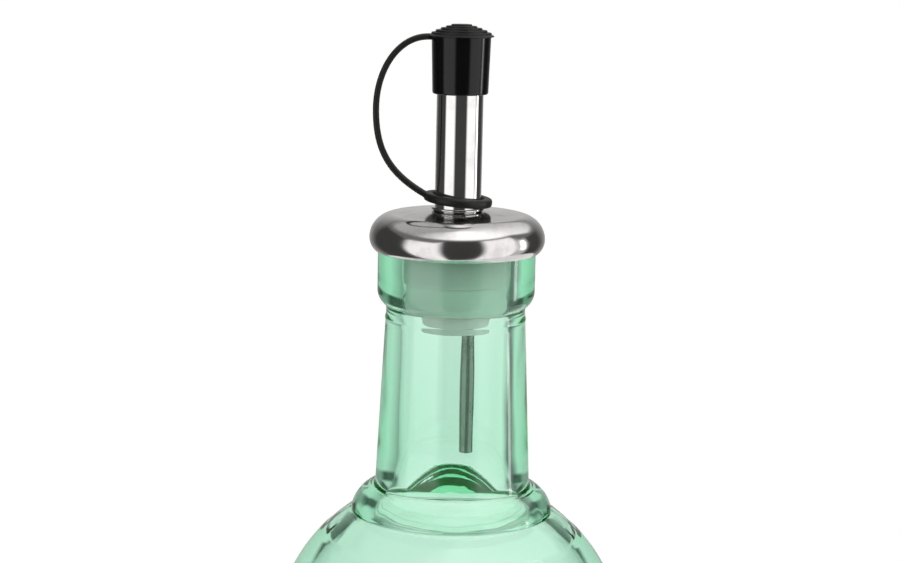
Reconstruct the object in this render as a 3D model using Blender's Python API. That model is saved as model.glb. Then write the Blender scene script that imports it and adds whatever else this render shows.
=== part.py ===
"""Round-shouldered olive oil bottle of thick pale green glass, with a steel-topped pourer in its mouth.

Lengths below are in millimetres and are turned to metres as each mesh is made. The bottle stands on
z = 0 with its axis on z, and the pourer's strap lies on the -X side.
"""

import math

import bmesh
import bpy
from mathutils import Euler, Matrix, Vector

MM = 0.001
CLEARANCE = 0.3  # what neighbouring pieces keep between their surfaces
MERGE_DISTANCE = 0.002 * MM
SHARP_ANGLE = math.radians(32)  # edges sharper than this stay crisp when shaded

# Bottle: body and base
BODY_RADIUS = 39.5
GROOVE_Z = 136.0  # where the shoulder meets the bead at the foot of the neck
SHOULDER_DROP = 32.4  # from that groove down to the centre of the round shoulder
WALL = 3.6
HEEL_ROUND = 9.0
INNER_HEEL_ROUND = 8.0
BASE_THICKNESS = 6.0
FLOOR_RISE = 1.0  # how far the inside floor rises towards its middle
FOOT_OUTER_RADIUS = BODY_RADIUS - HEEL_ROUND
FOOT_INNER_RADIUS = 23.0
PUNT_HEIGHT = 3.0  # how far the underside is pushed up inside the foot

# Bottle: bead, neck and lip
BEAD_RADIUS = 22.5
BEAD_ROUND = 6.8
BEAD_Z = GROOVE_Z - 0.8
BEAD_START, BEAD_END = 12.0, 77.7  # degrees of its arc above the outward direction
NECK_FOOT_RADIUS = 16.97
NECK_FOOT_Z = 142.6
NECK_TOP_RADIUS = 15.15
NECK_TOP_Z = 181.0
LIP_RADIUS = 17.1
LIP_BOTTOM_Z = 181.3
LIP_ROUND = 4.0
LIP_UNDER_TURN = 58.0  # degrees that the lip's underside turns in towards the neck
LIP_TOP_Z = 198.6
LIP_EDGE_ROUND = 1.2
BORE_TOP_RADIUS = 11.8
BORE_FOOT_RADIUS = 12.0
FLARE_ROUND = 20.5  # where the bore opens into the shoulder

# Collar: a pressed steel dome over the lip
COLLAR_RADIUS = 19.0
COLLAR_WIDEST_Z = 196.65
COLLAR_TOP_ROUND = 5.2
COLLAR_UNDER_ROUND = 3.7
COLLAR_UNDER_TURN = 48.0  # degrees that the lower edge is turned in
COLLAR_SHEET = 0.5
COLLAR_CROWN = 0.75  # rise of the top from its rounded edge to the hole
COLLAR_CROWN_POWER = 1.2
COLLAR_HOLE_RADIUS = 5.3
COLLAR_EDGE_RADIUS = COLLAR_RADIUS - COLLAR_TOP_ROUND  # where the crowned top meets the round edge

# Stopper: a moulded plug with a flange between the lip and the collar
STOPPER_PLUG_RADIUS = BORE_TOP_RADIUS - CLEARANCE
STOPPER_PLUG_Z = 187.2  # foot of the plug's full width
STOPPER_SLEEVE_RADIUS = 10.9
STOPPER_SLEEVE_Z = 181.6  # foot of the slightly narrower step below it
STOPPER_SLEEVE_ROUND = 0.8
STOPPER_STEM_RADIUS = 7.3
STOPPER_END_Z = 176.6
STOPPER_END_ROUND = 0.45
STOPPER_BORE_RADIUS = 5.3

# Spout and vent: steel tubes, one inside the other
SPOUT_RADIUS = 5.0
SPOUT_WALL = 0.3
SPOUT_TOP_Z = 238.4
SPOUT_END_Z = 179.0
SPOUT_BEAD_RADIUS = 5.75
SPOUT_BEAD_Z = 203.1
SPOUT_BEAD_ROUND = 0.28
VENT_RADIUS = 1.5
VENT_WALL = 0.3
VENT_X = 2.9
VENT_END_Z = 149.1
VENT_TOP_Z = 196.0

# Cap: a stepped rubber cap, the strap that keeps it and the ring round the spout
CAP_STEPS = ((2.2, 242.5), (3.3, 242.15), (4.4, 241.75), (5.5, 241.3), (6.4, 240.8))  # radius, height
CAP_STEP_FOOT_Z = 240.4
CAP_STEP_SLOPE = 0.12  # how much wider each step is at its foot
CAP_FLANGE_RADIUS = 7.0
CAP_FLANGE_Z = 240.15
CAP_FLANGE_UNDER_Z = 239.8
CAP_TOP_RADIUS = 6.35
CAP_BOTTOM_RADIUS = 6.0
CAP_BOTTOM_Z = 227.7
CAP_CHAMFER = 0.45
CAP_BORE_RADIUS = SPOUT_RADIUS + 0.25
CAP_BORE_TOP_Z = SPOUT_TOP_Z + CLEARANCE
RING_Z = 205.0
RING_RADIUS = 6.45  # to the middle of the rubber
RING_SIDE = 1.95
RING_HEIGHT = 1.9
RING_SQUARENESS = 0.7  # 1 is an oval section, less is squarer
RING_TILT = 5.5  # degrees, its strap side up
STRAP_THICKNESS = 1.35
STRAP_WIDTH = 3.0
STRAP_CORNER = 0.37
STRAP_TOP, STRAP_WIDEST, STRAP_FOOT = (-5.9, 239.7), (-17.95, 224.3), (-6.3, 205.5)
STRAP_TOP_PULLS = (-12.9, 240.5), (-17.95, 233.0)
STRAP_FOOT_PULLS = (-17.95, 214.8), (-14.6, 210.0)

# Faces round each turned piece
BOTTLE_SIDES = 56
COLLAR_SIDES = 44
STOPPER_SIDES = 36
TUBE_SIDES = 32
VENT_SIDES = 16
RUBBER_SIDES = 36


def clear_scene():
    """Takes every object out of the open scene."""
    for found in list(bpy.data.objects):
        bpy.data.objects.remove(found, do_unlink=True)


def make_material(name, colour, roughness, metallic=0.0, transmission=0.0, ior=1.5):
    """A Principled material with plain values."""
    material = bpy.data.materials.new(name)
    material.use_nodes = True
    shader = material.node_tree.nodes["Principled BSDF"]
    shader.inputs["Base Color"].default_value = (*colour, 1.0)
    shader.inputs["Roughness"].default_value = roughness
    shader.inputs["Metallic"].default_value = metallic
    shader.inputs["Transmission Weight"].default_value = transmission
    shader.inputs["IOR"].default_value = ior
    return material


def arc(centre_r, centre_z, radius, start, end, steps):
    """Points on an arc of the outline, its angles in degrees from the outward direction, both ends in."""
    turns = [math.radians(start + (end - start) * step / steps) for step in range(steps + 1)]
    return [(centre_r + radius * math.cos(turn), centre_z + radius * math.sin(turn)) for turn in turns]


def new_object(name, mesh_maker, material):
    """An object from a filled bmesh, its round faces shaded smooth between sharp edges."""
    mesh = bpy.data.meshes.new(name)
    mesh_maker.to_mesh(mesh)
    mesh_maker.free()
    mesh.materials.append(material)
    mesh.shade_smooth()
    mesh.set_sharp_from_angle(angle=SHARP_ANGLE)
    made = bpy.data.objects.new(name, mesh)
    bpy.context.scene.collection.objects.link(made)
    return made


def turned(name, outline, sides, material, closed=False, centre_x=0.0):
    """A body of revolution about a vertical axis at centre_x, from (radius, height) points.

    An open outline starts and ends on the axis; a closed one is a loop that stays clear of it.
    """
    maker = bmesh.new()
    points = [maker.verts.new((radius * MM, 0.0, height * MM)) for radius, height in outline]
    pairs = list(zip(points[:-1], points[1:]))
    if closed:
        pairs.append((points[-1], points[0]))
    edges = [maker.edges.new(pair) for pair in pairs]
    bmesh.ops.spin(
        maker, geom=points + edges, cent=(0, 0, 0), axis=(0, 0, 1),
        angle=math.tau, steps=sides, use_merge=True, use_duplicate=False,
    )
    bmesh.ops.remove_doubles(maker, verts=maker.verts, dist=MERGE_DISTANCE)
    bmesh.ops.recalc_face_normals(maker, faces=maker.faces)
    bmesh.ops.translate(maker, verts=maker.verts, vec=(centre_x * MM, 0, 0))
    return new_object(name, maker, material)


def bottle_outline():
    """The glass from the middle of its underside, up the outside, over the lip and down the inside."""
    centre_z = GROOVE_Z - SHOULDER_DROP
    inner_radius = BODY_RADIUS - WALL
    punt_radius = (FOOT_INNER_RADIUS**2 + PUNT_HEIGHT**2) / (2 * PUNT_HEIGHT)
    punt_turn = math.degrees(math.asin(FOOT_INNER_RADIUS / punt_radius))
    outline = arc(0, PUNT_HEIGHT - punt_radius, punt_radius, 90, 90 - punt_turn, 4)
    outline += arc(FOOT_OUTER_RADIUS, HEEL_ROUND, HEEL_ROUND, -90, 0, 6)
    groove_turn = math.degrees(math.acos(BEAD_RADIUS / BODY_RADIUS))
    outline += arc(0, centre_z, BODY_RADIUS, 0, groove_turn, 9)
    outline += arc(BEAD_RADIUS - BEAD_ROUND, BEAD_Z, BEAD_ROUND, BEAD_START, BEAD_END, 6)
    outline += [(NECK_FOOT_RADIUS, NECK_FOOT_Z), (NECK_TOP_RADIUS, NECK_TOP_Z)]
    outline += arc(LIP_RADIUS - LIP_ROUND, LIP_BOTTOM_Z + LIP_ROUND, LIP_ROUND, -LIP_UNDER_TURN, 0, 5)
    outline += arc(LIP_RADIUS - LIP_EDGE_ROUND, LIP_TOP_Z - LIP_EDGE_ROUND, LIP_EDGE_ROUND, 0, 90, 3)
    outline += arc(BORE_TOP_RADIUS + LIP_EDGE_ROUND, LIP_TOP_Z - LIP_EDGE_ROUND, LIP_EDGE_ROUND, 90, 180, 3)
    # the flare is an arc outside the bore that ends on the inner ball of the shoulder
    flare_centre_r = BORE_FOOT_RADIUS + FLARE_ROUND
    outer_reach = inner_radius + FLARE_ROUND
    flare_centre_z = centre_z + math.sqrt(outer_reach**2 - flare_centre_r**2)
    meet_turn = math.degrees(math.atan2(flare_centre_z - centre_z, flare_centre_r))
    outline += arc(flare_centre_r, flare_centre_z, FLARE_ROUND, 180, 180 + meet_turn, 6)
    outline += arc(0, centre_z, inner_radius, meet_turn, 0, 8)[1:]
    heel_centre_z = BASE_THICKNESS + INNER_HEEL_ROUND
    outline += arc(inner_radius - INNER_HEEL_ROUND, heel_centre_z, INNER_HEEL_ROUND, 0, -90, 4)
    outline += [(0, BASE_THICKNESS + FLOOR_RISE)]
    outline[0] = (0, outline[0][1])
    return outline


def crown_rise(radius):
    """How far the collar's top stands above its rounded edge at a radius."""
    share = (COLLAR_EDGE_RADIUS - radius) / (COLLAR_EDGE_RADIUS - COLLAR_HOLE_RADIUS)
    return COLLAR_CROWN * share**COLLAR_CROWN_POWER


def collar_outline():
    """The pressed sheet as a loop: outside from the hole to the turned-in edge, and back along the inside."""
    under_r = COLLAR_RADIUS - COLLAR_UNDER_ROUND
    edge_top = COLLAR_WIDEST_Z + COLLAR_TOP_ROUND
    outside = [(radius, edge_top + crown_rise(radius)) for radius in (COLLAR_HOLE_RADIUS, 8.0, 11.0)]
    outside += arc(COLLAR_EDGE_RADIUS, COLLAR_WIDEST_Z, COLLAR_TOP_ROUND, 90, 0, 6)
    outside += arc(under_r, COLLAR_WIDEST_Z, COLLAR_UNDER_ROUND, 0, -COLLAR_UNDER_TURN, 3)[1:]
    inside = arc(under_r, COLLAR_WIDEST_Z, COLLAR_UNDER_ROUND - COLLAR_SHEET, -COLLAR_UNDER_TURN, 0, 2)
    inside += arc(COLLAR_EDGE_RADIUS, COLLAR_WIDEST_Z, COLLAR_TOP_ROUND - COLLAR_SHEET, 0, 90, 4)[1:]
    under_top = edge_top - COLLAR_SHEET
    inside += [(radius, under_top + crown_rise(radius)) for radius in (9.5, COLLAR_HOLE_RADIUS)]
    return outside + inside


def stopper_outline():
    """The plug as a loop: up its outside, over the flange, and down the bore that holds the spout."""
    flange_round = COLLAR_TOP_ROUND - COLLAR_SHEET - CLEARANCE
    flange_bottom = LIP_TOP_Z + CLEARANCE
    flange_turn = math.degrees(math.asin((flange_bottom - COLLAR_WIDEST_Z) / flange_round))
    flange_top = COLLAR_WIDEST_Z + flange_round
    outline = [(STOPPER_BORE_RADIUS, STOPPER_END_Z)]
    outline += [(STOPPER_STEM_RADIUS - STOPPER_END_ROUND, STOPPER_END_Z)]
    outline += [(STOPPER_STEM_RADIUS, STOPPER_END_Z + STOPPER_END_ROUND)]
    outline += [(STOPPER_STEM_RADIUS, STOPPER_SLEEVE_Z)]
    sleeve_round_r = STOPPER_SLEEVE_RADIUS - STOPPER_SLEEVE_ROUND
    outline += arc(sleeve_round_r, STOPPER_SLEEVE_Z + STOPPER_SLEEVE_ROUND, STOPPER_SLEEVE_ROUND, -90, 0, 2)
    outline += [(STOPPER_SLEEVE_RADIUS, STOPPER_PLUG_Z)]
    outline += [(STOPPER_PLUG_RADIUS, STOPPER_PLUG_Z + STOPPER_PLUG_RADIUS - STOPPER_SLEEVE_RADIUS)]
    outline += [(STOPPER_PLUG_RADIUS, flange_bottom)]
    outline += arc(COLLAR_EDGE_RADIUS, COLLAR_WIDEST_Z, flange_round, flange_turn, 90, 4)
    outline += [(9.5, flange_top + crown_rise(9.5)), (STOPPER_BORE_RADIUS, flange_top + COLLAR_CROWN)]
    return outline


def spout_outline():
    """The thin tube as a loop, with the rolled bead that stands on the collar."""
    inner = SPOUT_RADIUS - SPOUT_WALL
    outline = [(inner, SPOUT_END_Z), (SPOUT_RADIUS, SPOUT_END_Z)]
    outline += [(SPOUT_RADIUS, SPOUT_BEAD_Z - SPOUT_BEAD_ROUND)]
    outline += arc(SPOUT_BEAD_RADIUS - SPOUT_BEAD_ROUND, SPOUT_BEAD_Z, SPOUT_BEAD_ROUND, -90, 90, 6)
    outline += [(SPOUT_RADIUS, SPOUT_BEAD_Z + SPOUT_BEAD_ROUND), (SPOUT_RADIUS, SPOUT_TOP_Z)]
    outline += [(inner, SPOUT_TOP_Z)]
    return outline


def vent_outline():
    """The vent tube's wall as a loop about its own axis."""
    inner = VENT_RADIUS - VENT_WALL
    return [(inner, VENT_END_Z), (VENT_RADIUS, VENT_END_Z), (VENT_RADIUS, VENT_TOP_Z), (inner, VENT_TOP_Z)]


def cap_outline():
    """The cap from the middle of its stepped top to its lower edge, then up the bore and to the axis."""
    outline = [(0, CAP_STEPS[0][1])]
    step_feet = [height for _, height in CAP_STEPS[1:]] + [CAP_STEP_FOOT_Z]
    for (radius, height), foot in zip(CAP_STEPS, step_feet):
        outline += [(radius, height), (radius + CAP_STEP_SLOPE, foot)]
    outline += [(CAP_FLANGE_RADIUS, CAP_FLANGE_Z), (CAP_FLANGE_RADIUS, CAP_FLANGE_UNDER_Z)]
    outline += [(CAP_TOP_RADIUS, CAP_FLANGE_UNDER_Z), (CAP_BOTTOM_RADIUS, CAP_BOTTOM_Z + CAP_CHAMFER)]
    outline += [(CAP_BOTTOM_RADIUS - CAP_CHAMFER, CAP_BOTTOM_Z), (CAP_BORE_RADIUS, CAP_BOTTOM_Z)]
    outline += [(CAP_BORE_RADIUS, CAP_BORE_TOP_Z), (0, CAP_BORE_TOP_Z)]
    return outline


def ring_outline():
    """The ring's rounded oblong section, about its own middle height."""
    side, height = RING_SIDE / 2, RING_HEIGHT / 2
    steps = 10
    outline = []
    for step in range(steps):
        turn = math.tau * (step + 0.5) / steps
        outline.append((
            RING_RADIUS + side * math.copysign(abs(math.cos(turn)) ** RING_SQUARENESS, math.cos(turn)),
            height * math.copysign(abs(math.sin(turn)) ** RING_SQUARENESS, math.sin(turn)),
        ))
    return outline


def bezier(start, out, into, end, steps):
    """Points along one cubic stretch, without its last."""
    found = []
    for step in range(steps):
        t = step / steps
        weights = ((1 - t) ** 3, 3 * t * (1 - t) ** 2, 3 * t * t * (1 - t), t**3)
        found.append(sum((w * Vector(p) for w, p in zip(weights, (start, out, into, end))), Vector((0, 0))))
    return found


def strap_path():
    """The strap's middle line in the XZ plane, from inside the cap's flange to inside the ring."""
    path = bezier(STRAP_TOP, *STRAP_TOP_PULLS, STRAP_WIDEST, 13)
    path += bezier(STRAP_WIDEST, *STRAP_FOOT_PULLS, STRAP_FOOT, 13)
    return path + [Vector(STRAP_FOOT)]


def make_strap(material):
    """A flat band swept along the path, with its long edges rounded off."""
    half_t, half_w, corner = STRAP_THICKNESS / 2, STRAP_WIDTH / 2, STRAP_CORNER
    section = [
        (half_t, -half_w + corner), (half_t, half_w - corner), (half_t - corner, half_w),
        (-half_t + corner, half_w), (-half_t, half_w - corner), (-half_t, -half_w + corner),
        (-half_t + corner, -half_w), (half_t - corner, -half_w),
    ]
    path = strap_path()
    maker = bmesh.new()
    rings = []
    for index, point in enumerate(path):
        along = (path[min(index + 1, len(path) - 1)] - path[max(index - 1, 0)]).normalized()
        across = Vector((along.y, -along.x))
        rings.append([
            maker.verts.new(((point.x + across.x * t) * MM, w * MM, (point.y + across.y * t) * MM))
            for t, w in section
        ])
    count = len(section)
    for first, second in zip(rings[:-1], rings[1:]):
        for k in range(count):
            maker.faces.new((first[k], first[(k + 1) % count], second[(k + 1) % count], second[k]))
    maker.faces.new(rings[0])
    maker.faces.new(rings[-1])
    bmesh.ops.recalc_face_normals(maker, faces=maker.faces)
    return new_object("strap", maker, material)


def join_by_union(body, others):
    """Joins closed pieces into body with Boolean unions, applies them and removes the pieces."""
    for other in others:
        union = body.modifiers.new("join_" + other.name, "BOOLEAN")
        union.operation = "UNION"
        union.solver = "EXACT"
        union.object = other
    graph = bpy.context.evaluated_depsgraph_get()
    joined = bpy.data.meshes.new_from_object(body.evaluated_get(graph))
    body.modifiers.clear()
    body.data = joined
    joined.shade_smooth()
    joined.set_sharp_from_angle(angle=SHARP_ANGLE)
    for other in others:
        bpy.data.objects.remove(other, do_unlink=True)


def make_bottle():
    glass = make_material("pale_green_glass", (0.62, 0.90, 0.74), 0.02, transmission=1.0, ior=1.52)
    turned("bottle", bottle_outline(), BOTTLE_SIDES, glass)


def make_collar():
    steel = make_material("satin_steel", (0.66, 0.65, 0.65), 0.22, metallic=1.0)
    turned("collar", collar_outline(), COLLAR_SIDES, steel, closed=True)


def make_stopper():
    plastic = make_material("frosted_plastic", (0.80, 0.82, 0.80), 0.35, transmission=0.4, ior=1.5)
    turned("stopper", stopper_outline(), STOPPER_SIDES, plastic, closed=True)


def make_tubes():
    steel = make_material("polished_steel", (0.72, 0.71, 0.70), 0.08, metallic=1.0)
    turned("spout", spout_outline(), TUBE_SIDES, steel, closed=True)
    turned("vent_tube", vent_outline(), VENT_SIDES, steel, closed=True, centre_x=VENT_X)


def make_cap():
    """The cap, its strap and its ring are one moulding of black rubber."""
    rubber = make_material("black_rubber", (0.012, 0.012, 0.012), 0.25, ior=1.5)
    cap = turned("cap", cap_outline(), RUBBER_SIDES, rubber)
    ring = turned("ring", ring_outline(), RUBBER_SIDES, rubber, closed=True)
    tilt = Euler((0, math.radians(RING_TILT), 0)).to_matrix().to_4x4()
    ring.data.transform(Matrix.Translation((0, 0, RING_Z * MM)) @ tilt)
    join_by_union(cap, [make_strap(rubber), ring])


clear_scene()
make_bottle()
make_collar()
make_stopper()
make_tubes()
make_cap()
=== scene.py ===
# %% [markdown]
# # A green glass oil bottle with a pourer
# This lesson dresses a finished CAD model: a round-shouldered bottle of thick pale green glass, with a
# steel-topped pourer pushed into its mouth. The CAD model already holds every size. Here each solid gets
# a smoother shape where it needs one, and the finish of the real material.
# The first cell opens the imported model. Everything is in metres, the bottle stands on z = 0, and the
# camera looks along +Y.

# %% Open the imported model
import math

import bmesh
import bpy
from mathutils import Euler, Matrix, Vector


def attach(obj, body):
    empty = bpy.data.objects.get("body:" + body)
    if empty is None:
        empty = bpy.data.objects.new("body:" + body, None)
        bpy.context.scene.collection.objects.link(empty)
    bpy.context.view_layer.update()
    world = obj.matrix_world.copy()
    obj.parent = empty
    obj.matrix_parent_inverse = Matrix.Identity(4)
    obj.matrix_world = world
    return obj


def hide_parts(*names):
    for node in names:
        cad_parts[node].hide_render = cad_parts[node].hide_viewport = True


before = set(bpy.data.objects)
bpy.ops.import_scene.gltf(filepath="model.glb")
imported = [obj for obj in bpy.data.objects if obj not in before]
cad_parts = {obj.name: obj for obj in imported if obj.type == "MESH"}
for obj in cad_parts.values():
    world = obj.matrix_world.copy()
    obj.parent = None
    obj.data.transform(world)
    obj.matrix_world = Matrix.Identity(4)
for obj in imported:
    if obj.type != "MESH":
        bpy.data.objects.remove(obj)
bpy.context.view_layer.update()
print("solids:", ", ".join(sorted(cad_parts)))

# %% [markdown]
# Two small helpers serve every step. Colours are written as they look on a screen, in hex, and Blender's
# sockets want them linear, so one function converts them. The other adds a node to a tree, with its
# settings, its values and its incoming links in one call, which keeps each material short to read.

# %% Helpers for colours and nodes
MM = 0.001


def linear(hex_colour):
    """The linear colour of a screen colour such as #bfe0cc."""
    parts = [int(hex_colour[start:start + 2], 16) / 255 for start in (1, 3, 5)]
    return tuple(part / 12.92 if part <= 0.04045 else ((part + 0.055) / 1.055) ** 2.4 for part in parts)


def add_node(tree, kind, values=None, links=None, **settings):
    """A new node, with attributes from settings, socket values and links from other sockets."""
    made = tree.nodes.new(kind)
    for name, value in settings.items():
        setattr(made, name, value)
    for socket, value in (values or {}).items():
        made.inputs[socket].default_value = value
    for socket, source in (links or {}).items():
        tree.links.new(source, made.inputs[socket])
    return made


print("mint green in linear light:", [round(part, 3) for part in linear("#bfe8d2")])

# %% [markdown]
# ## The camera
# The photograph looks down at the neck by ten degrees from less than half a metre away, and the bottle
# leans one degree in it, which a turn of the camera about its own line of sight gives. The lens length
# comes from how fast the rims of lip, collar and cap change their curve with height.

# %% Camera
CAMERA_PLACE = Vector((-1.35, -431.19, 263.0)) * MM
CAMERA_PITCH = math.radians(10)
CAMERA_ROLL = math.radians(1.2)
LENS_MM = 80.66

camera_data = bpy.data.cameras.new("camera")
camera_data.lens = LENS_MM
camera_data.sensor_width = 36.0
camera_data.clip_start = 0.01
camera_data.clip_end = 60.0
camera = bpy.data.objects.new("camera", camera_data)
bpy.context.scene.collection.objects.link(camera)
look = Euler((math.pi / 2 - CAMERA_PITCH, 0, 0)).to_matrix() @ Matrix.Rotation(CAMERA_ROLL, 3, "Z")
camera.matrix_world = Matrix.Translation(CAMERA_PLACE) @ look.to_4x4()
bpy.context.scene.camera = camera
print("camera", [round(c, 3) for c in camera.matrix_world.translation], "lens", LENS_MM)

# %% [markdown]
# ## The studio
# Glass and polished steel have hardly a look of their own: they show the room. The room here is painted
# on the world by direction, which renders with little noise. Going round from the camera it has a dark
# gap where the camera stands, a softbox on each side, a dark corner beyond each, and a pale wall behind.
# A narrow strip light stands on the right. A ceiling light stands over the front, brightest to the right,
# and a dark seam parts it from the softboxes. Each is a stretch of the room from one direction to another,
# in degrees from the camera towards the right, with one brightness, and neighbours fade into each other.
# Rays from the camera itself see plain white instead, so the picture's background stays clean from every
# side. Light that comes through the glass sees lighter corners than the steel does, so the bottle stays
# bright from the side too. A dark band a little above the horizon, at the sides and back, gives the lip's
# rounded underside its dark green.

# %% World
FULL_TURN = 360.0
DARK = 0.06
SOFTBOX_LIGHT = 1.35
BACK_LIGHT = 0.6
BOX_SEEN_THROUGH = 1.0
BACK_SEEN_THROUGH = 0.95
STRIP_LIGHT = 5.0
STRIP_REACH, STRIP_SOFT = 14.0, 4.0
SEAM_LEVEL = 0.2
SEAM_LOW_SOFT, SEAM_HIGH_SOFT = 3.0, 4.0
LIP_BAND_BOTTOM, LIP_BAND_TOP, LIP_BAND_SOFT = 5.0, 18.0, 3.0
PAPER_SEEN_THROUGH = 0.92
PAPER_EDGE, PAPER_EDGE_SOFT = -24.0, 5.0


def stretches(*parts):
    """Ramp stops from parts of the room, each (from, to, value), in degrees from the camera."""
    return [(place, value) for start, end, value in parts for place in dict.fromkeys((start, end))]


# back, left corner, left softbox, gap at the camera, right softbox, dark slit, side panel, right corner, back
WALLS = stretches(
    (-180, -180, BACK_LIGHT), (-130, -76, DARK), (-68, -27, SOFTBOX_LIGHT), (-18, 32, DARK),
    (41, 83, SOFTBOX_LIGHT), (87, 87, 0.35), (91, 101, 0.8), (107, 132, DARK), (180, 180, BACK_LIGHT),
)
WALLS_THROUGH_GLASS = stretches(
    (-180, -150, BACK_SEEN_THROUGH), (-116, -104, 0.45), (-88, -27, BOX_SEEN_THROUGH), (-18, 27, 0.35),
    (38, 101, BOX_SEEN_THROUGH), (106, 128, 0.2), (148, 180, BACK_SEEN_THROUGH),
)
HIGH_THROUGH_GLASS = stretches(
    (-180, -164, 0.45), (-150, -112, 0.1), (-88, -27, BOX_SEEN_THROUGH), (-18, 27, 0.2),
    (38, 101, BOX_SEEN_THROUGH), (106, 150, 0.1), (164, 180, 0.45),
)
STRIP = stretches((-180, 92, 0), (94, 98, 1), (100, 180, 0))
SEAM_LOW = stretches((-180, -100, 32), (-75, -30, 24), (-15, 84, 36), (92, 180, 20))
SEAM_HIGH = stretches((-180, -180, 34), (-90, 95, 42), (125, 180, 26))
CEILING = stretches((-180, -180, BACK_LIGHT), (-75, -75, 0.5), (0, 75, 1.6), (180, 180, BACK_LIGHT))

world = bpy.data.worlds.new("studio")
bpy.context.scene.world = world
world.use_nodes = True
sky = world.node_tree
sky.nodes.clear()
toward = add_node(sky, "ShaderNodeTexCoord").outputs["Generated"]
split = add_node(sky, "ShaderNodeSeparateXYZ", links={0: toward})
behind = add_node(sky, "ShaderNodeMath", {1: -1.0}, {0: split.outputs["Y"]}, operation="MULTIPLY")
turn = add_node(sky, "ShaderNodeMath", links={0: split.outputs["X"], 1: behind.outputs[0]},
                operation="ARCTAN2").outputs[0]
share = add_node(sky, "ShaderNodeMath", {1: 1 / math.tau, 2: 0.5}, {0: turn},
                 operation="MULTIPLY_ADD").outputs[0]
rise = add_node(sky, "ShaderNodeMath", links={0: split.outputs["Z"]}, operation="ARCSINE").outputs[0]
rise_degrees = add_node(sky, "ShaderNodeMath", {1: math.degrees(1)}, {0: rise},
                        operation="MULTIPLY").outputs[0]


def round_the_room(stops, name):
    """A value that changes with direction, from (degrees from the camera, value) stops."""
    scale = float(max(value for _, value in stops))
    ramp = add_node(sky, "ShaderNodeValToRGB", links={"Fac": share}, label=name)
    elements = ramp.color_ramp.elements
    while len(elements) > 1:
        elements.remove(elements[-1])
    for index, (degrees, value) in enumerate(stops):
        place = degrees / FULL_TURN + 0.5
        element = elements[0] if index == 0 else elements.new(place)
        element.position = place
        element.color = (value / scale,) * 3 + (1,)
    grey = add_node(sky, "ShaderNodeSeparateXYZ", links={0: ramp.outputs["Color"]}).outputs[0]
    return add_node(sky, "ShaderNodeMath", {1: scale}, {0: grey}, operation="MULTIPLY", label=name).outputs[0]


def above(limit, softness):
    """A smooth step from 0 below a height limit in degrees to 1 above it."""
    over = add_node(sky, "ShaderNodeMath", links={0: rise_degrees, 1: limit}, operation="SUBTRACT").outputs[0]
    return add_node(sky, "ShaderNodeMapRange", {"From Min": -softness, "From Max": softness}, {"Value": over},
                    interpolation_type="SMOOTHSTEP").outputs["Result"]


def above_number(limit, softness):
    """The same smooth step for a height limit that is a plain number."""
    return add_node(sky, "ShaderNodeMapRange", {"From Min": limit - softness, "From Max": limit + softness},
                    {"Value": rise_degrees}, interpolation_type="SMOOTHSTEP").outputs["Result"]


def blend(factor, first, second):
    """First where the factor is 0, second where it is 1; each a socket or a plain number."""
    values = {k: v for k, v in ((2, first), (3, second)) if isinstance(v, float)}
    links = {k: v for k, v in ((2, first), (3, second)) if not isinstance(v, float)}
    return add_node(sky, "ShaderNodeMix", values, {0: factor, **links}, data_type="FLOAT").outputs[0]


path = add_node(sky, "ShaderNodeLightPath").outputs
walls = round_the_room(WALLS, "walls")
walls_seen_through = round_the_room(WALLS_THROUGH_GLASS, "walls through glass")
high_seen_through = round_the_room(HIGH_THROUGH_GLASS, "high walls through glass")
low = round_the_room(SEAM_LOW, "seam low")
high = round_the_room(SEAM_HIGH, "seam high")
ceiling = round_the_room(CEILING, "ceiling")
through = blend(above_number(LIP_BAND_BOTTOM, LIP_BAND_SOFT), walls_seen_through, high_seen_through)
through = blend(above_number(LIP_BAND_TOP, LIP_BAND_SOFT), through, walls_seen_through)
through = blend(above_number(PAPER_EDGE, PAPER_EDGE_SOFT), PAPER_SEEN_THROUGH, through)
strip_side = round_the_room(STRIP, "strip")
strip_foot = above_number(-STRIP_REACH, STRIP_SOFT)
strip_head = above_number(STRIP_REACH, STRIP_SOFT)
strip_band = add_node(sky, "ShaderNodeMath", links={0: strip_foot, 1: strip_head},
                      operation="SUBTRACT").outputs[0]
strip_spot = add_node(sky, "ShaderNodeMath", links={0: strip_side, 1: strip_band},
                      operation="MULTIPLY").outputs[0]
walls_and_strip = add_node(sky, "ShaderNodeMath", {1: STRIP_LIGHT}, {0: strip_spot, 2: walls},
                           operation="MULTIPLY_ADD").outputs[0]
lower = blend(path["Is Transmission Ray"], walls_and_strip, through)
seamed = blend(above(low, SEAM_LOW_SOFT), lower, SEAM_LEVEL)
room = blend(above(high, SEAM_HIGH_SOFT), seamed, ceiling)
seen = blend(path["Is Camera Ray"], room, 1.0)
light = add_node(sky, "ShaderNodeBackground", {"Strength": 1.0}, {"Color": seen})
add_node(sky, "ShaderNodeOutputWorld", links={"Surface": light.outputs[0]})
print("world painted with", len(sky.nodes), "nodes")

# %% [markdown]
# The bottle stands on plain white paper. In a mirror the paper ends soon: the steel shows only a patch
# of it round the bottle, and the dark gap in front of that. So the floor has two parts of one material.
# The patch is there for every ray, and the wide sheet round it only for the camera and for soft light.

# %% Floor
PATCH_MIDDLE = (0.07, 0.14)
PATCH_RADIUS = 0.235
SHEET_RADIUS = 9.0
FLOOR_SIDES = 96

paper = bpy.data.materials.new("white_paper")
paper.use_nodes = True
paper_shader = paper.node_tree.nodes["Principled BSDF"]
paper_shader.inputs["Base Color"].default_value = (*linear("#f6f6f4"), 1)
paper_shader.inputs["Roughness"].default_value = 0.9
paper_shader.inputs["Specular IOR Level"].default_value = 0.1
paper_shader.inputs["Emission Color"].default_value = (1, 1, 1, 1)
paper_shader.inputs["Emission Strength"].default_value = 0.3


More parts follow.
